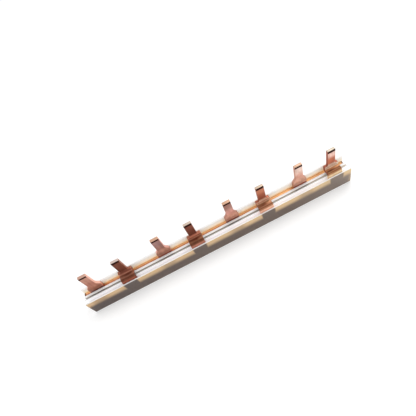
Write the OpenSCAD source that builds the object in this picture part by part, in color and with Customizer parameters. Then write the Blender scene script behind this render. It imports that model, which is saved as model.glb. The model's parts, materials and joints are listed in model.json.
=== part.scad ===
// Two-pole comb busbar: an insulating profile with two copper combs standing in it.
// Units are millimetres. +Z points up along the pins, +X along the bar,
// and the front of the bar faces -Y. The origin is the middle of the underside.

/* [Pins and poles] */
// distance between neighbouring pins of one pole, two modules
pole_pitch = 35.6; // [32:0.1:50]
// step along the bar from a rear pin to the front pin beside it
pole_step = 16; // [13:0.1:18]
// number of pins on each pole
pins = 4; // [1:1:8]
// length of the profile before the first rear pin's middle
left_margin = 6.9; // [5:0.1:12]
// length of the profile after the last front pin's middle
right_margin = 7.5; // [5.5:0.1:12]

/* [Copper] */
// thickness of the copper sheet
copper_t = 1.5; // [1.2:0.1:1.6]
// width of a pin
pin_w = 3.8; // [3:0.1:4.6]
// height of the pin tips above the profile's working edge
pin_rise = 13; // [11:0.1:16]
// distance the front pins stand in front of the rear pins
front_pin_lead = 0.8; // [0.5:0.05:1.1]
// width of a tab where it leaves the profile
tab_w = 6.9; // [6:0.1:8.4]
// height of the straight sides of a rear tab above the profile's working edge
rear_tab_rise = 2.6; // [1.5:0.1:3.5]
// height of the curved shoulders between a rear tab and its pin
rear_shoulder_h = 2.9; // [2.2:0.1:3.5]
// height of the shoulders of a front tab above the profile's working edge
front_tab_rise = 4; // [3.8:0.1:5.5]
// radius of the corners of a front tab's shoulders
front_corner_r = 0.5; // [0.3:0.05:0.6]
// height of the joggle's upper face above the profile's working edge
joggle_rise = 2.3; // [2.2:0.05:2.6]
// inside radius of the joggle's two bends
bend_r = 0.5; // [0.3:0.05:0.7]
// height of the bevel on both faces of a tip
bevel_h = 0.9; // [0.4:0.05:1.4]
// depth of the bevel on both faces of a tip
bevel_d = 0.1; // [0.05:0.05:0.4]
// distance the rear strip's upper edge lies below the profile's working edge
rear_strip_drop = 0.2; // [0.1:0.1:1]
// distance the front strip's upper edge lies below the profile's working edge
front_strip_drop = 2.5; // [1:0.1:4]
// distance the rear strip stops short of the profile's right end
rear_strip_short = 0.6; // [0.2:0.1:2]
// distance the front strip stops short of each end of the profile
front_strip_short = 1.2; // [0.2:0.1:1.5]

/* [Insulating profile] */
// height of the working edge, the top of the front wall and the inner walls
profile_h = 8.9; // [8:0.1:12]
// height of the rear wall above the working edge
rear_wall_rise = 2.8; // [0.5:0.1:4]
// thickness of the floor under both strips
floor_t = 1; // [0.8:0.1:1.5]
// thickness of the front wall
front_wall = 0.85; // [0.7:0.05:1.2]
// thickness of the inner wall behind the front strip
inner_front_wall = 0.45; // [0.4:0.05:0.8]
// width of the open groove between the two inner walls
groove_w = 0.8; // [0.5:0.05:1.5]
// depth of the open groove
groove_depth = 5; // [2:0.1:6]
// thickness of the inner wall in front of the rear strip
inner_rear_wall = 1.2; // [0.9:0.05:1.6]
// thickness of the rear wall
rear_wall = 0.8; // [0.7:0.05:1.2]
// gap between a strip and the wall on each side of it
slot_gap = 0.1; // [0.05:0.05:0.15]

/* [Hidden] */
$fn = 64;
over = 1;
profile_l = left_margin + (pins - 1)*pole_pitch + pole_step + right_margin;
slot_w = copper_t + 2*slot_gap;
depth = front_wall + slot_w + inner_front_wall + groove_w + inner_rear_wall + slot_w + rear_wall;
left_x = -profile_l/2;
front_y = -depth/2;
rear_pin_x = left_x + left_margin;
front_pin_x = rear_pin_x + pole_step;
front_slot_y = front_y + front_wall;
groove_y = front_slot_y + slot_w + inner_front_wall;
rear_slot_y = groove_y + groove_w + inner_rear_wall;
front_strip_y = front_slot_y + slot_gap;
rear_strip_y = rear_slot_y + slot_gap;
front_pin_y = rear_strip_y - front_pin_lead;
tip_z = profile_h + pin_rise;
joggle_z = profile_h + joggle_rise;
outer_r = bend_r + copper_t;
tab_half = tab_w/2;
pin_half = pin_w/2;
shoulder_z = profile_h + rear_tab_rise;
shoulder_steps = 12;
front_top_z = profile_h + front_tab_rise;

module along_x(start, length) {
    // a drawing of Y and Z becomes a solid that runs along +X
    translate([start, 0, 0]) rotate([90, 0, 90]) linear_extrude(height = length) children();
}

module along_y(start, length) {
    // a drawing of X and Z becomes a solid that runs along +Y
    translate([0, start + length, 0]) rotate([90, 0, 0]) linear_extrude(height = length) children();
}

module tip_bevels(face_y) {
    // what comes off both faces of a pin's end, drawn in Y and Z
    polygon([[face_y - over, tip_z - bevel_h], [face_y, tip_z - bevel_h],
             [face_y + bevel_d, tip_z], [face_y + bevel_d, tip_z + over],
             [face_y - over, tip_z + over]]);
    polygon([[face_y + copper_t + over, tip_z - bevel_h], [face_y + copper_t, tip_z - bevel_h],
             [face_y + copper_t - bevel_d, tip_z], [face_y + copper_t - bevel_d, tip_z + over],
             [face_y + copper_t + over, tip_z + over]]);
}

module rear_section() {
    // the flat sheet of the rear comb seen from its end
    difference() {
        translate([rear_strip_y, floor_t]) square([copper_t, tip_z - floor_t]);
        tip_bevels(rear_strip_y);
    }
}

module front_section() {
    // the joggled sheet of the front comb seen from its end: up, back over the walls, up
    low_bend = [front_strip_y + outer_r, joggle_z - outer_r];
    high_bend = [front_pin_y - bend_r, joggle_z + bend_r];
    translate([front_strip_y, floor_t]) square([copper_t, low_bend[1] - floor_t]);
    intersection() {
        translate(low_bend) difference() {
            circle(r = outer_r);
            circle(r = bend_r);
        }
        translate([low_bend[0] - outer_r - over, low_bend[1]]) square([outer_r + over, outer_r + over]);
    }
    translate([low_bend[0], joggle_z - copper_t])
        square([high_bend[0] - low_bend[0], copper_t]);
    intersection() {
        translate(high_bend) difference() {
            circle(r = outer_r);
            circle(r = bend_r);
        }
        translate([high_bend[0], high_bend[1] - outer_r - over]) square([outer_r + over, outer_r + over]);
    }
    difference() {
        translate([front_pin_y, high_bend[1]]) square([copper_t, tip_z - high_bend[1]]);
        tip_bevels(front_pin_y);
    }
}

function shoulder(side, t) =
    // a point on an S-shaped shoulder, from the tab's side at 0 to the pin's side at 1
    [side*(pin_half + (tab_half - pin_half)*(1 + cos(180*t))/2), shoulder_z + rear_shoulder_h*t];

module rear_tab() {
    // a rear tab and its pin seen from the front
    polygon(concat([[-tab_half, 0], [tab_half, 0]],
                   [for (k = [0:shoulder_steps]) shoulder(1, k/shoulder_steps)],
                   [[pin_half, tip_z], [-pin_half, tip_z]],
                   [for (k = [shoulder_steps:-1:0]) shoulder(-1, k/shoulder_steps)]));
}

module front_tab() {
    // a front tab and its pin seen from the front, with square shoulders
    corner_x = tab_half - front_corner_r;
    corner_z = front_top_z - front_corner_r;
    translate([-tab_half, 0]) square([tab_w, corner_z]);
    translate([-corner_x, 0]) square([2*corner_x, front_top_z]);
    for (side = [-1, 1]) translate([side*corner_x, corner_z]) circle(r = front_corner_r);
    translate([-pin_half, 0]) square([pin_w, tip_z]);
}

module insulating_profile() {
    color([0.96, 0.95, 0.94]) along_x(left_x, profile_l) difference() {
        union() {
            translate([front_y, 0]) square([depth, profile_h]);
            translate([front_y + depth - rear_wall, 0]) square([rear_wall, profile_h + rear_wall_rise]);
        }
        translate([front_slot_y, floor_t]) square([slot_w, profile_h]);
        translate([groove_y, profile_h - groove_depth]) square([groove_w, groove_depth + over]);
        translate([rear_slot_y, floor_t]) square([slot_w, profile_h + rear_wall_rise]);
    }
}

module rear_comb() {
    color([0.80, 0.47, 0.33]) intersection() {
        along_x(left_x, profile_l - rear_strip_short) rear_section();
        along_y(front_y, depth) {
            translate([left_x, 0]) square([profile_l - rear_strip_short, profile_h - rear_strip_drop]);
            for (i = [0:pins - 1]) translate([rear_pin_x + i*pole_pitch, 0]) rear_tab();
        }
    }
}

module front_comb() {
    color([0.72, 0.36, 0.24]) intersection() {
        along_x(left_x + front_strip_short, profile_l - 2*front_strip_short) front_section();
        along_y(front_y, depth) {
            translate([left_x + front_strip_short, 0])
                square([profile_l - 2*front_strip_short, profile_h - front_strip_drop]);
            for (i = [0:pins - 1]) translate([front_pin_x + i*pole_pitch, 0]) front_tab();
        }
    }
}

insulating_profile();
rear_comb();
front_comb();
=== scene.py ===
# %% [markdown]
# # A two-pole comb busbar
# A comb busbar feeds a row of modular devices. Two copper combs stand side by side in one
# white plastic profile, and their pins reach up into the terminals of the devices above.
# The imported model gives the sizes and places, and this lesson adds rounded edges, bends
# and finishes on top of it without moving anything.

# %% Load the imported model
import json
import math

import bmesh
import bpy
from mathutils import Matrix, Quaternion, Vector


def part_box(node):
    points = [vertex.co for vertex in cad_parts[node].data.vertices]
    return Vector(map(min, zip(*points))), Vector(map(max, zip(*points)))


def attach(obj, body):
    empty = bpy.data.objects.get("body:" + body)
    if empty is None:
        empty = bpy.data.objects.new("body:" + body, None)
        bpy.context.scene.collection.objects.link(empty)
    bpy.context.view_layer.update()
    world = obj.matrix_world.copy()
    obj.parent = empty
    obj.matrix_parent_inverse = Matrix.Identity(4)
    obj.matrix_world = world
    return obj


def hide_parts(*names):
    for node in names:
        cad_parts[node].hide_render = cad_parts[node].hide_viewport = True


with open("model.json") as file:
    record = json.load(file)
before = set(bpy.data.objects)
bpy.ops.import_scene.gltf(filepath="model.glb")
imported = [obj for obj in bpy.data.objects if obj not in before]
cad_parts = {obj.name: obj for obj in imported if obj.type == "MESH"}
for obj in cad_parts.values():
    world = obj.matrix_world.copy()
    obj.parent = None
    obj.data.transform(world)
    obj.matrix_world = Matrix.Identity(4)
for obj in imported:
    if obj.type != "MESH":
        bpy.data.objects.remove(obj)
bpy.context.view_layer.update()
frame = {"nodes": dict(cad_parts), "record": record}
print("nodes:", ", ".join(sorted(frame["nodes"])))

# %% [markdown]
# ## Sizes
# The corners of the three solids give most sizes: how long the profile is, how thick the
# copper is, where the tips end. The record's mounts give the place of every pin. What the
# boxes can't tell, such as the width of a tab, is named here once, in metres.

# %% Sizes read from the model
mm = 0.001
profile_low, profile_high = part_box("insulating_profile")
rear_low, rear_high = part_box("rear_comb")
front_low, front_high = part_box("front_comb")
mounts = {mount["name"]: Vector(mount["pos_m"]) for mount in frame["record"]["mounts"]}
rear_pins = sorted(place.x for name, place in mounts.items() if name.startswith("rear_pin"))
front_pins = sorted(place.x for name, place in mounts.items() if name.startswith("front_pin"))
pole_pitch = rear_pins[1] - rear_pins[0]
copper_t = rear_high.y - rear_low.y
tip_z = rear_high.z
strip_floor = rear_low.z
print(f"{len(rear_pins)} + {len(front_pins)} pins, {pole_pitch / mm:.1f} mm apart on each pole")

# %% Sizes of the stamped copper
rear_wall_rise = 2.8 * mm
working_edge = profile_high.z - rear_wall_rise
tab_half = 6.9 * mm / 2
pin_half = 3.8 * mm / 2
rear_tab_rise = 2.6 * mm
rear_shoulder_h = 2.9 * mm
front_tab_rise = 4.0 * mm
front_corner_r = 0.5 * mm
joggle_rise = 2.3 * mm
bend_r = 0.5 * mm
tip_bevel_h = 0.9 * mm
tip_bevel_d = 0.1 * mm
rear_strip_top = working_edge - 0.2 * mm
front_strip_top = working_edge - 2.5 * mm
outer_r = bend_r + copper_t
joggle_z = working_edge + joggle_rise
front_pin_y = front_high.y - copper_t
print(f"copper {copper_t / mm:.1f} mm, tips {(tip_z - working_edge) / mm:.1f} mm above the profile")

# %% Sizes of the plastic section
front_wall = 0.85 * mm
inner_front_wall = 0.45 * mm
groove_w = 0.8 * mm
groove_depth = 5.0 * mm
rear_wall = 0.8 * mm
slot_gap = 0.1 * mm
front_slot_y = profile_low.y + front_wall
front_slot_end = front_slot_y + copper_t + 2 * slot_gap
groove_y = front_slot_end + inner_front_wall
rear_slot_y = rear_low.y - slot_gap
rear_slot_end = profile_high.y - rear_wall
print(f"working edge at {working_edge / mm:.1f} mm, rear wall up to {profile_high.z / mm:.1f} mm")

# %% [markdown]
# ## Outlines with round corners
# Both the plastic section and the copper blank are flat shapes with rounded corners. A
# corner is written as two coordinates and a radius, and one helper puts the arcs in. A
# bevel modifier could round them later, but then every corner would share one radius.


# %% Helper: an outline with arcs at its corners
def rounded(corners, steps=5):
    points = []
    for i, (a, b, radius) in enumerate(corners):
        here = Vector((a, b))
        if radius == 0:
            points.append(here)
            continue
        back = (Vector(corners[i - 1][:2]) - here).normalized()
        ahead = (Vector(corners[(i + 1) % len(corners)][:2]) - here).normalized()
        half = back.angle(ahead) / 2
        centre = here + (back + ahead).normalized() * radius / math.sin(half)
        start = here + back * radius / math.tan(half) - centre
        end = here + ahead * radius / math.tan(half) - centre
        turn = math.copysign(math.pi - 2 * half, start.x * end.y - start.y * end.x)
        for k in range(steps + 1):
            t = turn * k / steps
            points.append(centre + Vector((start.x * math.cos(t) - start.y * math.sin(t),
                                           start.x * math.sin(t) + start.y * math.cos(t))))
    return points


# %% [markdown]
# ## From a flat outline to a solid
# A stamped sheet and an extruded profile are both one outline given a thickness, so both
# start in the same helper. It adds the outline's face, extrudes it, and rounds every sharp
# edge a little, because no real edge is perfectly sharp and the light shows it.


# %% Helpers: thicken, round and finish a mesh
def thicken(points, shift):
    mesh = bmesh.new()
    face = mesh.faces.new([mesh.verts.new(point) for point in points])
    grown = bmesh.ops.extrude_face_region(mesh, geom=[face])["geom"]
    moved = [item for item in grown if isinstance(item, bmesh.types.BMVert)]
    bmesh.ops.translate(mesh, verts=moved, vec=shift)
    bmesh.ops.recalc_face_normals(mesh, faces=mesh.faces)
    return mesh


def round_edges(mesh, radius, keep_below=-1.0):
    sharp = [edge for edge in mesh.edges if edge.calc_face_angle(0) > math.radians(28)
             and max(vert.co.z for vert in edge.verts) > keep_below]
    bmesh.ops.bevel(mesh, geom=sharp, offset=radius, segments=2, profile=0.5,
                    affect="EDGES", clamp_overlap=True)


def cut_at(mesh, height, clear_below=False):
    whole = mesh.verts[:] + mesh.edges[:] + mesh.faces[:]
    cut = bmesh.ops.bisect_plane(mesh, geom=whole, plane_co=(0, 0, height), plane_no=(0, 0, 1),
                                 dist=1e-7, clear_inner=clear_below)["geom_cut"]
    if clear_below:
        rim = [item for item in cut if isinstance(item, bmesh.types.BMEdge)]
        bmesh.ops.edgenet_fill(mesh, edges=rim)


def make_object(name, mesh):
    bmesh.ops.recalc_face_normals(mesh, faces=mesh.faces)
    data = bpy.data.meshes.new(name)
    mesh.to_mesh(data)
    mesh.free()
    data.shade_smooth()
    data.set_sharp_from_angle(angle=math.radians(50))
    piece = bpy.data.objects.new(name, data)
    bpy.context.scene.collection.objects.link(piece)
    return piece


def bake(piece):
    graph = bpy.context.evaluated_depsgraph_get()
    data = bpy.data.meshes.new_from_object(piece.evaluated_get(graph), depsgraph=graph)
    piece.modifiers.clear()
    piece.data = data


# %% [markdown]
# ## The insulating profile
# The real profile is squeezed through a die, so its section is the same all along: a front
# wall, a slot for each comb, an open groove that keeps the two poles apart, and a taller
# rear wall. The section is drawn once, with a small radius on each lip, and thickened along
# the bar. A stack of boxes would give wrong inner corners and seams.

# %% The plastic section, swept along the bar
section = rounded([
    (profile_low.y, 0, 0.35 * mm),
    (profile_high.y, 0, 0.35 * mm),
    (profile_high.y, profile_high.z, 0.25 * mm),
    (rear_slot_end, profile_high.z, 0.2 * mm),
    (rear_slot_end, strip_floor, 0.1 * mm),
    (rear_slot_y, strip_floor, 0.1 * mm),
    (rear_slot_y, working_edge, 0.15 * mm),
    (groove_y + groove_w, working_edge, 0.15 * mm),
    (groove_y + groove_w, working_edge - groove_depth, 0.15 * mm),
    (groove_y, working_edge - groove_depth, 0.15 * mm),
    (groove_y, working_edge, 0.15 * mm),
    (front_slot_end, working_edge, 0.15 * mm),
    (front_slot_end, strip_floor, 0.1 * mm),
    (front_slot_y, strip_floor, 0.1 * mm),
    (front_slot_y, working_edge, 0.15 * mm),
    (profile_low.y, working_edge, 0.25 * mm),
])
blank = thicken([(profile_low.x, y, z) for y, z in section],
                (profile_high.x - profile_low.x, 0, 0))
round_edges(blank, 0.06 * mm)
profile = make_object("profile_extrusion", blank)
print("profile:", len(profile.data.polygons), "faces")

# %% [markdown]
# ## One tab of each comb
# A comb is punched from copper sheet and only then bent. The tab is made the same way: a
# flat blank is drawn from the front, its tip is bevelled on both faces, its edges are
# rounded, and the front pole's blank is bent over. Bending is a move of each point: how far
# up the blank it lies says where it comes to lie on the bent path.


# %% Helper: punch a flat tab with a bevelled tip
def punch_tab(outline, tip, foot):
    mirrored = [(-x, z, radius) for x, z, radius in reversed(outline)]
    blank = thicken([(x, 0, z) for x, z in rounded(outline + mirrored)], (0, copper_t, 0))
    cut_at(blank, tip - tip_bevel_h)
    for vert in blank.verts:
        rise = max(0.0, vert.co.z - (tip - tip_bevel_h)) / tip_bevel_h
        slope = 1 - 2 * tip_bevel_d / copper_t * rise
        vert.co.y = copper_t / 2 + (vert.co.y - copper_t / 2) * slope
    round_edges(blank, 0.1 * mm)
    cut_at(blank, foot, clear_below=True)
    return blank


# %% The straight tab of the rear comb
spare = 1.0 * mm
shoulder_steps = 12


def shoulder(t):
    sway = (1 + math.cos(math.pi * t)) / 2
    return (pin_half + (tab_half - pin_half) * sway, working_edge + rear_tab_rise + rear_shoulder_h * t, 0)


rear_blank = punch_tab([
    (tab_half, rear_strip_top - spare, 0),
    *[shoulder(k / shoulder_steps) for k in range(shoulder_steps + 1)],
    (pin_half, tip_z, 0.15 * mm),
], tip_z, rear_strip_top)
bmesh.ops.translate(rear_blank, verts=rear_blank.verts, vec=(0, rear_low.y, 0))
rear_tab = make_object("rear_tab", rear_blank)
print("rear tab:", len(rear_tab.data.polygons), "faces")

# %% The bent path of the front comb
mid_r = (outer_r + bend_r) / 2
bend_length = mid_r * math.pi / 2
low_bend = Vector((front_low.y + outer_r, joggle_z - outer_r))
high_bend = Vector((front_pin_y - bend_r, joggle_z + bend_r))
bend_1 = low_bend.y
flat = bend_1 + bend_length
bend_2 = flat + high_bend.x - low_bend.x
upright = bend_2 + bend_length
tip_s = upright + tip_z - high_bend.y


def joggled(point):
    depth = point.y
    height = point.z
    if height <= bend_1:
        return Vector((point.x, front_low.y + depth, height))
    if height <= flat:
        turn = (height - bend_1) / mid_r
        radius = outer_r - depth
        return Vector((point.x, low_bend.x - radius * math.cos(turn),
                       low_bend.y + radius * math.sin(turn)))
    if height <= bend_2:
        return Vector((point.x, low_bend.x + height - flat, joggle_z - depth))
    if height <= upright:
        turn = (height - bend_2) / mid_r
        radius = bend_r + depth
        return Vector((point.x, high_bend.x + radius * math.sin(turn),
                       high_bend.y - radius * math.cos(turn)))
    return Vector((point.x, front_pin_y + depth, high_bend.y + height - upright))


print(f"the front blank is {(tip_s - front_strip_top) / mm:.1f} mm tall before it is bent")

# %% The joggled tab of the front comb
front_top_s = upright + working_edge + front_tab_rise - high_bend.y
front_blank = punch_tab([
    (tab_half, front_strip_top - spare, 0),
    (tab_half, front_top_s, front_corner_r),
    (pin_half, front_top_s, 0.3 * mm),
    (pin_half, tip_s, 0.15 * mm),
], tip_s, front_strip_top)
bend_steps = 10
for k in range(bend_steps + 1):
    cut_at(front_blank, bend_1 + bend_length * k / bend_steps)
    cut_at(front_blank, bend_2 + bend_length * k / bend_steps)
for vert in front_blank.verts:
    vert.co = joggled(vert.co)
front_tab = make_object("front_tab", front_blank)
print("front tab:", len(front_tab.data.polygons), "faces")

# %% [markdown]
# ## A node tree that sets tabs along a strip
# Four equal tabs at an equal pitch are a rule, so Geometry Nodes repeat them. The tree takes
# the strip as its geometry, sets a copy of the tab on each point of a line, turns the copies
# into real mesh and gives the whole comb its finish. A longer bar only needs a new count.


# %% Helper: a node with its settings and inputs
def add(tree, kind, inputs=None, **settings):
    node = tree.nodes.new(kind)
    for name, value in settings.items():
        setattr(node, name, value)
    for key, value in (inputs or {}).items():
        if isinstance(value, bpy.types.NodeSocket):
            tree.links.new(value, node.inputs[key])
        else:
            node.inputs[key].default_value = value
    return node


# %% The tree
tab_tree = bpy.data.node_groups.new("Tabs along a strip", "GeometryNodeTree")
sockets = {}
for label, kind in (("Strip", "Geometry"), ("Tab", "Object"), ("Count", "Int"),
                    ("First", "Float"), ("Pitch", "Float"), ("Finish", "Material")):
    sockets[label] = tab_tree.interface.new_socket(
        label, in_out="INPUT", socket_type="NodeSocket" + kind).identifier
tab_tree.interface.new_socket("Comb", in_out="OUTPUT", socket_type="NodeSocketGeometry")
given = add(tab_tree, "NodeGroupInput").outputs
first = add(tab_tree, "ShaderNodeCombineXYZ", {"X": given["First"]}).outputs[0]
step = add(tab_tree, "ShaderNodeCombineXYZ", {"X": given["Pitch"]}).outputs[0]
line = add(tab_tree, "GeometryNodeMeshLine",
           {"Count": given["Count"], "Start Location": first, "Offset": step})
shape = add(tab_tree, "GeometryNodeObjectInfo", {"Object": given["Tab"]})
copies = add(tab_tree, "GeometryNodeInstanceOnPoints",
             {"Points": line.outputs["Mesh"], "Instance": shape.outputs["Geometry"]})
joined = add(tab_tree, "GeometryNodeJoinGeometry")
tab_tree.links.new(copies.outputs["Instances"], joined.inputs["Geometry"])
tab_tree.links.new(given["Strip"], joined.inputs["Geometry"])
real = add(tab_tree, "GeometryNodeRealizeInstances", {"Geometry": joined.outputs["Geometry"]})
dressed = add(tab_tree, "GeometryNodeSetMaterial",
              {"Geometry": real.outputs["Geometry"], "Material": given["Finish"]})
add(tab_tree, "NodeGroupOutput", {"Comb": dressed.outputs["Geometry"]})
print("tree inputs:", ", ".join(sockets))


# %% Helper: one comb, its strip and its tabs
def make_comb(name, low, high, top, tab, pins, finish):
    outline = [(low.x, low.y, low.z), (high.x, low.y, low.z), (high.x, low.y, top), (low.x, low.y, top)]
    strip = thicken(outline, (0, copper_t, 0))
    round_edges(strip, 0.1 * mm)
    comb = make_object(name, strip)
    rows = comb.modifiers.new("Tabs", "NODES")
    rows.node_group = tab_tree
    for label, value in (("Tab", tab), ("Count", len(pins)), ("First", pins[0]),
                         ("Pitch", pole_pitch), ("Finish", finish)):
        rows[sockets[label]] = value
    bake(comb)
    bpy.data.objects.remove(tab)
    print(f"{name}: {len(pins)} tabs, {len(comb.data.polygons)} faces")
    return comb


# %% [markdown]
# ## Colours as they look
# Blender's sockets hold linear light, but a colour is easier to name as it looks on a
# screen. One helper turns a screen colour of six hexadecimal figures into the linear one.
# A few more short helpers keep the node code below readable: a sum, a soft step, a mix of
# two colours and a colour ramp.


# %% Helpers: colours and small node steps
def shade(code):
    parts = [int(code[i:i + 2], 16) / 255 for i in (0, 2, 4)]
    return (*[c / 12.92 if c < 0.04045 else ((c + 0.055) / 1.055) ** 2.4 for c in parts], 1.0)


def maths(tree, operation, *values):
    return add(tree, "ShaderNodeMath", dict(enumerate(values)), operation=operation).outputs[0]


def fade(tree, value, start, end):
    limits = {"Value": value, "From Min": start, "From Max": end}
    return add(tree, "ShaderNodeMapRange", limits, interpolation_type="SMOOTHSTEP").outputs["Result"]


def between(tree, value, low, high, soft):
    return maths(tree, "MULTIPLY", fade(tree, value, low - soft, low + soft),
                 fade(tree, value, high + soft, high - soft))


def mix(tree, factor, base, cover):
    return add(tree, "ShaderNodeMix", {0: factor, 6: base, 7: cover}, data_type="RGBA").outputs[2]


def ramp(tree, value, stops):
    node = add(tree, "ShaderNodeValToRGB", {"Fac": value})
    elements = node.color_ramp.elements
    for i, (place, colour) in enumerate(stops):
        element = elements[i] if i < 2 else elements.new(place)
        element.position = place
        element.color = shade(colour)
    return node.outputs["Color"]


# %% [markdown]
# ## Effects that the finishes share
# Three effects turn up in more than one finish, so each is a shader node group with its own
# inputs. Rolled copper and drawn plastic both carry fine lines along the bar. Nothing is
# quite even, so soft patches vary colour and gloss. And several marks sit only where a
# comb has a tab, so one group measures how near the next tab is.


# %% Helper: an empty shader group
def shader_group(name, inputs, outputs):
    tree = bpy.data.node_groups.new(name, "ShaderNodeTree")
    for label, kind in inputs.items():
        tree.interface.new_socket(label, in_out="INPUT", socket_type="NodeSocket" + kind)
    for label, kind in outputs.items():
        tree.interface.new_socket(label, in_out="OUTPUT", socket_type="NodeSocket" + kind)
    return tree, add(tree, "NodeGroupInput").outputs


# %% Group: fine lines along the bar
lines, given = shader_group("Lines along the bar", {"Position": "Vector", "Per metre": "Float"},
                            {"Line": "Float"})
along_step = maths(lines, "MULTIPLY", given["Per metre"], 0.015)
density = add(lines, "ShaderNodeCombineXYZ",
              {"X": along_step, "Y": given["Per metre"], "Z": given["Per metre"]}).outputs[0]
stretched = add(lines, "ShaderNodeVectorMath", {0: given["Position"], 1: density}, operation="MULTIPLY")
grain = add(lines, "ShaderNodeTexNoise", {"Vector": stretched.outputs[0], "Scale": 1.0, "Detail": 3.0})
add(lines, "NodeGroupOutput", {"Line": grain.outputs["Fac"]})

# %% Group: soft patches
patches, given = shader_group("Soft patches", {"Position": "Vector", "Per metre": "Float"},
                              {"Patch": "Float"})
cloud = add(patches, "ShaderNodeTexNoise",
            {"Vector": given["Position"], "Scale": given["Per metre"], "Detail": 4.0, "Roughness": 0.6})
add(patches, "NodeGroupOutput", {"Patch": fade(patches, cloud.outputs["Fac"], 0.3, 0.7)})

# %% Group: how near the next tab is
near_tab, given = shader_group("Near a tab", {"Along": "Float", "First": "Float", "Reach": "Float",
                                              "Soft": "Float"}, {"Near": "Float"})
offset = maths(near_tab, "SUBTRACT", given["Along"], given["First"])
distance = maths(near_tab, "ABSOLUTE", maths(near_tab, "WRAP", offset, pole_pitch / 2, -pole_pitch / 2))
outer = maths(near_tab, "ADD", given["Reach"], given["Soft"])
inner = maths(near_tab, "SUBTRACT", given["Reach"], given["Soft"])
add(near_tab, "NodeGroupOutput", {"Near": fade(near_tab, distance, outer, inner)})
print("shared effects:", ", ".join(tree.name for tree in (lines, patches, near_tab)))

# %% [markdown]
# ## What every finish starts and ends with
# Each finish asks the same two questions of a point: where on the bar is it, and which way
# does it face. Both are read in the object's own coordinates, so that the marks stay on the
# piece. Each finish also ends the same way, in a colour, a roughness and a fine relief. A
# last helper lets a colour drift from one end of the bar to the other.


# %% Helpers: start a finish, and lay one mask on another
def new_finish(name):
    material = bpy.data.materials.new(name)
    material.use_nodes = True
    tree = material.node_tree
    spot = add(tree, "ShaderNodeTexCoord").outputs
    place = add(tree, "ShaderNodeSeparateXYZ", {"Vector": spot["Object"]}).outputs
    facing = add(tree, "ShaderNodeSeparateXYZ", {"Vector": spot["Normal"]}).outputs
    return material, tree, spot["Object"], place, facing


def where(tree, first, second):
    return maths(tree, "MULTIPLY", first, second)


def shared(tree, effect, **inputs):
    named = {socket.replace("_", " "): value for socket, value in inputs.items()}
    return add(tree, "ShaderNodeGroup", named, node_tree=effect).outputs[0]


# %% Helper: a colour that drifts along the bar
def drift(tree, along, places, colours):
    length = profile_high.x - profile_low.x
    share = add(tree, "ShaderNodeMapRange", {"Value": along, "From Min": profile_low.x,
                                             "From Max": profile_high.x}).outputs["Result"]
    return ramp(tree, share, [((x - profile_low.x) / length, c) for x, c in zip(places, colours)])


# %% Helper: finish with colour, roughness and relief
def dress(tree, colour, roughness, relief, **constants):
    bump = add(tree, "ShaderNodeBump", {"Height": relief, "Strength": 0.35, "Distance": 0.02 * mm})
    shader = tree.nodes["Principled BSDF"]
    for socket, value in (("Base Color", colour), ("Roughness", roughness), ("Normal", bump.outputs[0])):
        tree.links.new(value, shader.inputs[socket])
    for socket, value in constants.items():
        shader.inputs[socket.replace("_", " ")].default_value = value


# %% [markdown]
# ## The plastic
# The profile is white rigid plastic with a soft sheen. Its walls are thin, so the copper
# behind them shows through as a brown shade: over the whole height where a tab stands, and
# elsewhere only up to the strip's edge. Above the strip the wall is warmed to beige. Walls
# of real thickness with light passing through them would be slow and noisy, so the shade is
# laid on as colour, from the same sizes that place the copper.


# %% Shade of the copper behind a wall
def beside_tabs(tree, place, first, soft):
    return shared(tree, near_tab, Along=place["X"], First=first, Reach=tab_half, Soft=soft)


def copper_behind(tree, place, first, high, strip_top):
    soft = 0.45 * mm
    near = beside_tabs(tree, place, first, soft)
    strip = fade(tree, place["Z"], strip_top + 2 * soft, strip_top - 4 * soft)
    ends = fade(tree, place["X"], high.x + 2 * soft, high.x - 2 * soft)
    return where(tree, maths(tree, "MAXIMUM", near, strip), maths(tree, "MULTIPLY_ADD", ends, 0.3, 0.7))


# %% The plastic's first coat
plastic, tree, spot, place, facing = new_finish("white profile plastic")
patch = shared(tree, patches, Position=spot, Per_metre=90.0)
line = shared(tree, lines, Position=spot, Per_metre=7000.0)
quarters = [profile_low.x + (profile_high.x - profile_low.x) * k / 4 for k in range(5)]
frontward = fade(tree, facing["Y"], -0.3, -0.7)
backward = fade(tree, facing["Y"], 0.3, 0.7)
colour = ramp(tree, patch, [(0.0, "E9E7E5"), (1.0, "F1F0EE")])
print("drift of the plastic set at", [round(x / mm) for x in quarters], "mm")

# %% [markdown]
# ## The inside of the rear wall
# The tall rear wall faces the copper strip. The strip throws a warm light on it, strongest
# low down and gone near the top, so the wall's inner face runs from a peach white to white.

# %% Warm light on the inner face
inner_face = where(tree, frontward, fade(tree, place["Y"], rear_slot_y, rear_slot_end))
rise = add(tree, "ShaderNodeMapRange", {"Value": place["Z"], "From Min": rear_strip_top,
                                        "From Max": profile_high.z}).outputs["Result"]
warm = ramp(tree, rise, [(0.0, "FBDDBE"), (0.3, "FAE9D6"), (0.75, "F6EFE6"), (1.0, "F5F1EC")])
colour = mix(tree, inner_face, colour, warm)
print(f"inner face: {(profile_high.z - rear_strip_top) / mm:.1f} mm from warm to white")
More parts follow.
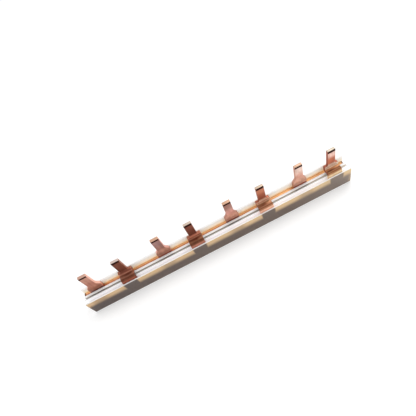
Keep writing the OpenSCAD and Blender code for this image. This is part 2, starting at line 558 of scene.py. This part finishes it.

# %% [markdown]
# ## The outer faces
# The front wall shows the front comb as painted shade: brown over the strip and the tabs,
# beige between, both painted lighter towards the right end. The rear comb stands further off
# and only dulls the beige a little with a painted shade beside its tabs. The back wall shows
# the rear comb in the same way, but its upper part has no copper close behind it and stays
# cream.

# %% The front face
front_skin = fade(tree, place["Y"], profile_low.y + 0.4 * mm, profile_low.y + 0.1 * mm)
# Painted light and shade: beige where light passes through the wall, brown where copper behind it blocks
# the light, both lighter towards the right end.
beige = drift(tree, place["X"], quarters, ["CBAB84", "CFB18A", "D0B38D", "D3B892", "D4BA94"])
brown = drift(tree, place["X"], quarters, ["4E3F3A", "64564F", "6A5C53", "6D5F55", "84756A"])
# Painted shade of the rear tabs, laid on the beige.
rear_tab_shade_on_beige = maths(tree, "MULTIPLY", beside_tabs(tree, place, rear_pins[0], 2 * mm), 0.32)
shown = copper_behind(tree, place, front_pins[0], front_high, front_strip_top)
front_colour = mix(tree, shown, mix(tree, rear_tab_shade_on_beige, beige, brown), brown)
colour = mix(tree, where(tree, frontward, front_skin), colour, front_colour)
print(f"front face: brown up to {front_strip_top / mm:.1f} mm and over {len(front_pins)} tabs")

# %% The back face
back_skin = fade(tree, place["Y"], profile_high.y - 0.4 * mm, profile_high.y - 0.1 * mm)
# Painted light and shade, as on the front: cream above, brown where the rear comb stands behind the wall.
cream = ramp(tree, rise, [(0.0, "E2CDB2"), (0.6, "EAE0D2")])
below_edge = fade(tree, place["Z"], working_edge + 1 * mm, working_edge)
shown = copper_behind(tree, place, rear_pins[0], rear_high, rear_strip_top)
back_colour = mix(tree, where(tree, shown, below_edge), cream, shade("85766B"))
colour = mix(tree, where(tree, backward, back_skin), colour, back_colour)
print(f"back face: cream above {working_edge / mm:.1f} mm")

# %% [markdown]
# ## Slots and lips
# The groove is a deep grey line of painted shade, darkest in a painted shadow beside the rear
# tabs and painted lighter towards the right end, and the lip before it is painted a little grey.
# The thin walls let some light through, so the open front slot is bright inside, although little
# light falls into it from above. A weak emission on just those faces stands for that light. It
# costs no render time, and its strength is one value on the shader.

# %% The groove and the lips
skin = 0.1 * mm
below_lips = fade(tree, place["Z"], working_edge - 0.05 * mm, working_edge - 0.25 * mm)
lips = fade(tree, place["Z"], working_edge - 0.25 * mm, working_edge - 0.1 * mm)
# Painted shade: the groove's grey, lighter towards the right end, with a painted shadow beside the rear
# tabs.
grey = drift(tree, place["X"], quarters, ["A69F99", "B0A8A1", "B2AAA2", "C2B9AF", "D6CCC0"])
rear_tab_shadow_in_groove = maths(tree, "MULTIPLY", beside_tabs(tree, place, rear_pins[0], 1 * mm), 0.6)
grey = mix(tree, rear_tab_shadow_in_groove, grey, shade("6E6762"))
groove_sides = between(tree, place["Y"], groove_y - skin, groove_y + groove_w + skin, skin / 2)
groove = where(tree, below_lips, groove_sides)
colour = mix(tree, groove, colour, grey)
# Painted shade: the lip between the front slot and the groove is a little grey.
front_lip = where(tree, lips, between(tree, place["Y"], front_slot_end, groove_y, skin))
colour = mix(tree, front_lip, colour, shade("D3D0CC"))
print(f"groove: {groove_w / mm:.1f} mm wide, {groove_depth / mm:.1f} mm deep")

# %% Light that comes through the thin walls
slot_sides = between(tree, place["Y"], front_slot_y - skin, front_slot_end + skin, skin / 2)
rear_lip = where(tree, lips, between(tree, place["Y"], groove_y + groove_w, rear_slot_y, skin))
low_part = where(tree, inner_face, fade(tree, rise, 0.7, 0.1))
glow = mix(tree, where(tree, below_lips, slot_sides), shade("000000"), shade("F2F4FA"))
glow = mix(tree, maths(tree, "MULTIPLY", groove, 0.35), glow, grey)
glow = mix(tree, maths(tree, "MULTIPLY", rear_lip, 0.3), glow, shade("F2EDE6"))
glow = mix(tree, maths(tree, "MULTIPLY", low_part, 0.35), glow, shade("FFD2A4"))
tree.links.new(glow, tree.nodes["Principled BSDF"].inputs["Emission Color"])
print("light through the walls: the front slot, the groove, one lip and the rear wall's foot")

# %% The plastic's gloss and relief
gloss = maths(tree, "MULTIPLY_ADD", patch, 0.12, maths(tree, "MULTIPLY_ADD", line, 0.12, 0.34))
dress(tree, colour, gloss, line, IOR=1.45, Subsurface_Weight=0.6,
      Subsurface_Radius=(1.0, 0.9, 0.8), Subsurface_Scale=3.0 * mm, Emission_Strength=0.32)
profile.data.materials.append(plastic)
print("plastic:", len(tree.nodes), "nodes")

# %% [markdown]
# ## The copper
# Both combs are bare rolled copper, handled and a little tarnished. The sheet's faces carry
# fine rolling lines and cloudy brown patches. The punched sides are partly bright bare metal
# and partly painted light, the bevels at the tips carry a painted shade, and the tips' end faces
# a painted highlight. One function builds the finish for both combs, because they are one metal.
# Each comb gives it its own drift of colour from one end of the bar to the other, which paints
# the light that falls from the right.


# %% Stains and rubbed streaks
def stained(tree, patch, spot, colour, bright):
    stain = mix(tree, maths(tree, "MULTIPLY", patch, 0.3), colour, shade("7A4630"))
    tall = add(tree, "ShaderNodeMapping", {"Vector": spot, "Scale": (1, 1, 0.18)}).outputs[0]
    rub = shared(tree, patches, Position=tall, Per_metre=700.0)
    return mix(tree, maths(tree, "MULTIPLY", rub, 0.2), stain, bright)


# %% Sides of bright cut metal and painted light, the bevel's painted shade and the tip's painted highlight
def edged(tree, place, facing, colour, edge, cap, cap_depth):
    # Painted light: the side faces of the tall part take the side colour, partly bright bare metal and
    # partly light from the right.
    sideways = fade(tree, maths(tree, "ABSOLUTE", facing["X"]), 0.45, 0.8)
    tall_part = fade(tree, place["Z"], working_edge + 1 * mm, working_edge + 1.4 * mm)
    sheared_and_lit = mix(tree, where(tree, sideways, tall_part), colour, edge)
    # Painted shade: the bevels at the tips are nearly black-red.
    bevel = between(tree, place["Z"], tip_z - tip_bevel_h - 0.4 * mm, tip_z - cap_depth, 0.1 * mm)
    bevel = where(tree, bevel, fade(tree, maths(tree, "ABSOLUTE", facing["Y"]), 0.5, 0.8))
    dark = mix(tree, bevel, sheared_and_lit, shade("2E120C"))
    # Painted highlight: the tip's end face takes the pale cap colour.
    top = fade(tree, place["Z"], tip_z - cap_depth - 0.05 * mm, tip_z - cap_depth + 0.05 * mm)
    return mix(tree, top, dark, cap)


# %% The marks that both combs carry
def copper_marks(tree, spot, place, facing, colour, edge, cap, cap_depth):
    patch = shared(tree, patches, Position=spot, Per_metre=260.0)
    line = shared(tree, lines, Position=spot, Per_metre=8000.0)
    colour = stained(tree, patch, spot, colour, edge)
    colour = edged(tree, place, facing, colour, edge, cap, cap_depth)
    gloss = maths(tree, "MULTIPLY_ADD", patch, 0.14, maths(tree, "MULTIPLY_ADD", line, 0.10, 0.30))
    dress(tree, colour, gloss, line, Metallic=1.0)


# %% [markdown]
# ## The rear comb's colours
# Each straight tab is warm at its foot and pinker on the blade, with a nearly black-red painted
# shadow in the line where it goes down into the slot. The strip's own top edge lies in the slot
# like a thin orange line, with painted shade along its front rim and at both ends, where it stops
# short of the profile.

# %% The rear comb's blades and tabs
rear_finish, tree, spot, place, facing = new_finish("rear copper")
height = maths(tree, "SUBTRACT", place["Z"], working_edge)
# The drift along the bar paints light from the right: the blades are mostly paler towards the right end.
upper = drift(tree, place["X"], rear_pins, ["B68574", "947573", "A57E74", "F8DED2"])
lower = drift(tree, place["X"], rear_pins, ["AE7362", "9A7064", "E8AB9E", "EDB6A3"])
blade = mix(tree, fade(tree, height, 6 * mm, 10 * mm), lower, upper)
tab_colour = drift(tree, place["X"], rear_pins, ["B07763", "B88570", "D69F8A", "E0AF99"])
colour = mix(tree, fade(tree, height, 4 * mm, 5.8 * mm), tab_colour, blade)
# Painted shadow: a nearly black-red line at the foot of each tab's front face, where it goes down into the
# slot.
root = drift(tree, place["X"], rear_pins, ["5A180C", "A04A30", "8A4026", "AE583A"])
root_shadow_line = where(tree, fade(tree, height, 1.0 * mm, 0.4 * mm), fade(tree, facing["Y"], -0.3, -0.7))
colour = mix(tree, root_shadow_line, colour, root)
print("rear tabs:", len(tree.nodes), "nodes so far")

# %% The rear strip's edge, and the finish
edge_top = where(tree, fade(tree, facing["Z"], 0.4, 0.8), fade(tree, height, 0.4 * mm, 0.1 * mm))
strip_edge = drift(tree, place["X"], rear_pins, ["C05C2C", "C46A38", "CC7C48", "E2A870"])
# Painted shade: the strip's edge is darker along its front rim and lighter further back.
deeper = fade(tree, place["Y"], rear_low.y + 0.2 * mm, rear_low.y + 0.9 * mm)
strip_edge = mix(tree, deeper, strip_edge, shade("FFCE96"))
# Painted shade: the strip's edge is nearly black at both ends.
ends = between(tree, place["X"], rear_low.x + 0.6 * mm, rear_high.x - 0.6 * mm, 0.4 * mm)
strip_edge = mix(tree, ends, shade("40251A"), strip_edge)
colour = mix(tree, edge_top, colour, strip_edge)
# Painted light: the side colour is lighter on the left tabs, whose sides face the light, and darker on the
# right; the caps carry a painted highlight.
edge = drift(tree, place["X"], rear_pins, ["F0B9A5", "E3A898", "B8826F", "C89480"])
cap = drift(tree, place["X"], rear_pins, ["CFA695", "D5AB90", "D6AB8F", "BE9B84"])
copper_marks(tree, spot, place, facing, colour, edge, cap, 0.35 * mm)
print("rear copper:", len(tree.nodes), "nodes")

# %% [markdown]
# ## The front comb's own marks
# The bends are given painted reflections. The distance up the bent sheet is close to depth
# plus height, so bands over that sum lay a painted light band low on the bend, a painted dark
# line over it, a painted dark crest and flat, and a painted highlight in the inner corner.
# The bands cover each other from the tip down, each with its own drift.

# %% The front comb's blades and feet
front_finish, tree, spot, place, facing = new_finish("front copper")
height = maths(tree, "SUBTRACT", place["Z"], working_edge)
# The drift along the bar paints light from the right, and the pale foot is a painted reflection.
upper = drift(tree, place["X"], front_pins, ["6C3C2F", "723C30", "C88164", "F6D2C4"])
lower = drift(tree, place["X"], front_pins, ["632F21", "5C281C", "A05942", "C7775A"])
blade = mix(tree, fade(tree, height, 7.5 * mm, 10.5 * mm), lower, upper)
foot = drift(tree, place["X"], front_pins, ["8A5546", "E8967A", "FFD6B8", "FFE8D4"])
colour = mix(tree, fade(tree, height, 4.2 * mm, 5.4 * mm), foot, blade)
print("front blades:", len(tree.nodes), "nodes so far")

# %% Bands over the joggle
# Painted reflections on the joggle: light low on the bend, dark over the bend, crest and flat, and a
# painted highlight in the inner fold.
path = maths(tree, "ADD", height, maths(tree, "SUBTRACT", place["Y"], profile_low.y))
flat_top = drift(tree, place["X"], front_pins, ["7C5241", "6A4533", "957255", "C89268"])
colour = mix(tree, fade(tree, path, 7.3 * mm, 6.4 * mm), colour, flat_top)
crest = drift(tree, place["X"], front_pins, ["936756", "865C43", "8E6149", "6A4B36"])
colour = mix(tree, fade(tree, path, 5.7 * mm, 5.1 * mm), colour, crest)
bend = drift(tree, place["X"], front_pins, ["6A3F31", "64402D", "B67D5C", "C08C62"])
colour = mix(tree, fade(tree, path, 4.7 * mm, 4.2 * mm), colour, bend)
fold = drift(tree, place["X"], front_pins, ["E09F88", "CF8A6E", "F8C2A2", "FFF2DC"])
colour = mix(tree, between(tree, path, 6.7 * mm, 7.7 * mm, 0.3 * mm), colour, fold)
low_band = drift(tree, place["X"], front_pins, ["995543", "C07F6B", "FFCCAE", "FFE8BC"])
colour = mix(tree, fade(tree, path, 2.9 * mm, 2.0 * mm), colour, low_band)
dark_line = between(tree, path, 3.5 * mm, 4.0 * mm, 0.2 * mm)
colour = mix(tree, maths(tree, "MULTIPLY", dark_line, 0.7), colour, shade("3A1D12"))
print("bands over the joggle: flat, crest, bend, fold, low band and dark line")

# %% The front comb's edges, and the finish
edge = drift(tree, place["X"], front_pins, ["A46A55", "A86E58", "A8644E", "A4604C"])
# Painted shade: the up-facing tops of the shoulders take the darker side colour.
shaded_shoulder_tops = where(tree, fade(tree, facing["Z"], 0.3, 0.7), fade(tree, height, 3.4 * mm, 3.8 * mm))
colour = mix(tree, shaded_shoulder_tops, colour, edge)
# Painted highlight: the pale caps on the tips' end faces.
cap = drift(tree, place["X"], front_pins, ["D9C6BD", "D4C0B0", "C3AE9A", "B4A898"])
copper_marks(tree, spot, place, facing, colour, edge, cap, 0.12 * mm)
print("front copper:", len(tree.nodes), "nodes")

# %% [markdown]
# ## Both combs
# The strip is the part of each comb that lies in its slot. It is thickened from a plain
# rectangle, and the node tree sets the four tabs on it.

# %% Build both combs
rear_comb = make_comb("rear_pole", rear_low, rear_high, rear_strip_top, rear_tab, rear_pins, rear_finish)
front_strip_high = Vector((front_high.x, front_low.y + copper_t, front_high.z))
front_comb = make_comb("front_pole", front_low, front_strip_high, front_strip_top, front_tab,
                       front_pins, front_finish)

# %% [markdown]
# ## Tying the pieces to the model
# Each piece stands for one solid of the imported model: it hides that solid and rides on the one
# body. Nothing on a busbar moves, so there is no joint to follow.

# %% Tie the pieces to the model
for piece, node, slot in ((profile, "insulating_profile", "insulation"),
                          (rear_comb, "rear_comb", "rear_copper"),
                          (front_comb, "front_comb", "front_copper")):
    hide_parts(node)
    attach(piece, "root")
print("pieces tied: 3")

# %% [markdown]
# ## Floor
# The bar stands on a plain white floor. A diffuse surface keeps its soft shadow, and a
# little glow that only the camera and reflections see brings the rest of it up to white, so
# no extra light has to fall on the bar.

# %% Floor
bpy.ops.mesh.primitive_plane_add(size=3.0, location=(0, 0, 0))
floor = bpy.context.object
floor.name = "floor"
ground = bpy.data.materials.new("white floor")
ground.use_nodes = True
tree = ground.node_tree
tree.nodes.clear()
rays = add(tree, "ShaderNodeLightPath").outputs
seen = maths(tree, "MAXIMUM", rays["Is Camera Ray"], rays["Is Glossy Ray"])
seen = maths(tree, "MAXIMUM", seen, rays["Is Transmission Ray"])
diffuse = add(tree, "ShaderNodeBsdfDiffuse", {"Color": shade("E8E8E8")})
glow = add(tree, "ShaderNodeEmission", {"Strength": maths(tree, "MULTIPLY", seen, 0.25)})
both = add(tree, "ShaderNodeAddShader", {0: diffuse.outputs[0], 1: glow.outputs[0]})
add(tree, "ShaderNodeOutputMaterial", {"Surface": both.outputs[0]})
floor.data.materials.append(ground)
print("floor:", [round(side, 2) for side in floor.dimensions])

# %% [markdown]
# ## Light
# A white surround gives nearly all the light, as in a light tent: it is soft, and the copper
# has something pale to reflect from every side. One large softbox behind the right shoulder
# of the bar lights the tops and the right sides a little more, which shows the form.

# %% Light
world = bpy.data.worlds.new("light tent")
bpy.context.scene.world = world
world.use_nodes = True
surround = world.node_tree.nodes["Background"]
surround.inputs["Color"].default_value = (1, 1, 1, 1)
surround.inputs["Strength"].default_value = 0.95


def softbox(name, place, aim, size, power):
    lamp = bpy.data.lights.new(name, "AREA")
    lamp.shape = "DISK"
    lamp.size = size
    lamp.energy = power
    holder = bpy.data.objects.new(name, lamp)
    holder.location = place
    holder.rotation_euler = (Vector(aim) - Vector(place)).to_track_quat("-Z", "Y").to_euler()
    bpy.context.scene.collection.objects.link(holder)
    print(f"{name}: {power} W, {size} m across")


softbox("softbox", (0.30, 0.25, 0.45), (0, 0, 0.01), 0.35, 0.9)

# %% [markdown]
# ## Camera
# The camera looks down on the bar from the front at about fifty degrees, near enough for
# the perspective to show, and is rolled so that the bar climbs across the frame.

# %% Camera
aim = Vector((1.6 * mm, 14.7 * mm, working_edge))
view_azimuth = math.radians(-0.82)
view_elevation = math.radians(49.67)
view_roll = math.radians(26.64)
view_distance = 155.0 * mm
back = Vector((math.sin(view_azimuth) * math.cos(view_elevation),
               -math.cos(view_azimuth) * math.cos(view_elevation), math.sin(view_elevation)))
lens = bpy.data.cameras.new("camera")
lens.lens = 27.0
lens.clip_start = 0.005
camera = bpy.data.objects.new("camera", lens)
camera.rotation_mode = "QUATERNION"
camera.location = aim + back * view_distance
camera.rotation_quaternion = (-back).to_track_quat("-Z", "Y") @ Quaternion((0, 0, 1), -view_roll)
bpy.context.scene.collection.objects.link(camera)
bpy.context.scene.camera = camera
bpy.context.scene.view_settings.view_transform = "Standard"
print(f"camera: {lens.lens:.0f} mm lens, {view_distance / mm:.0f} mm away")
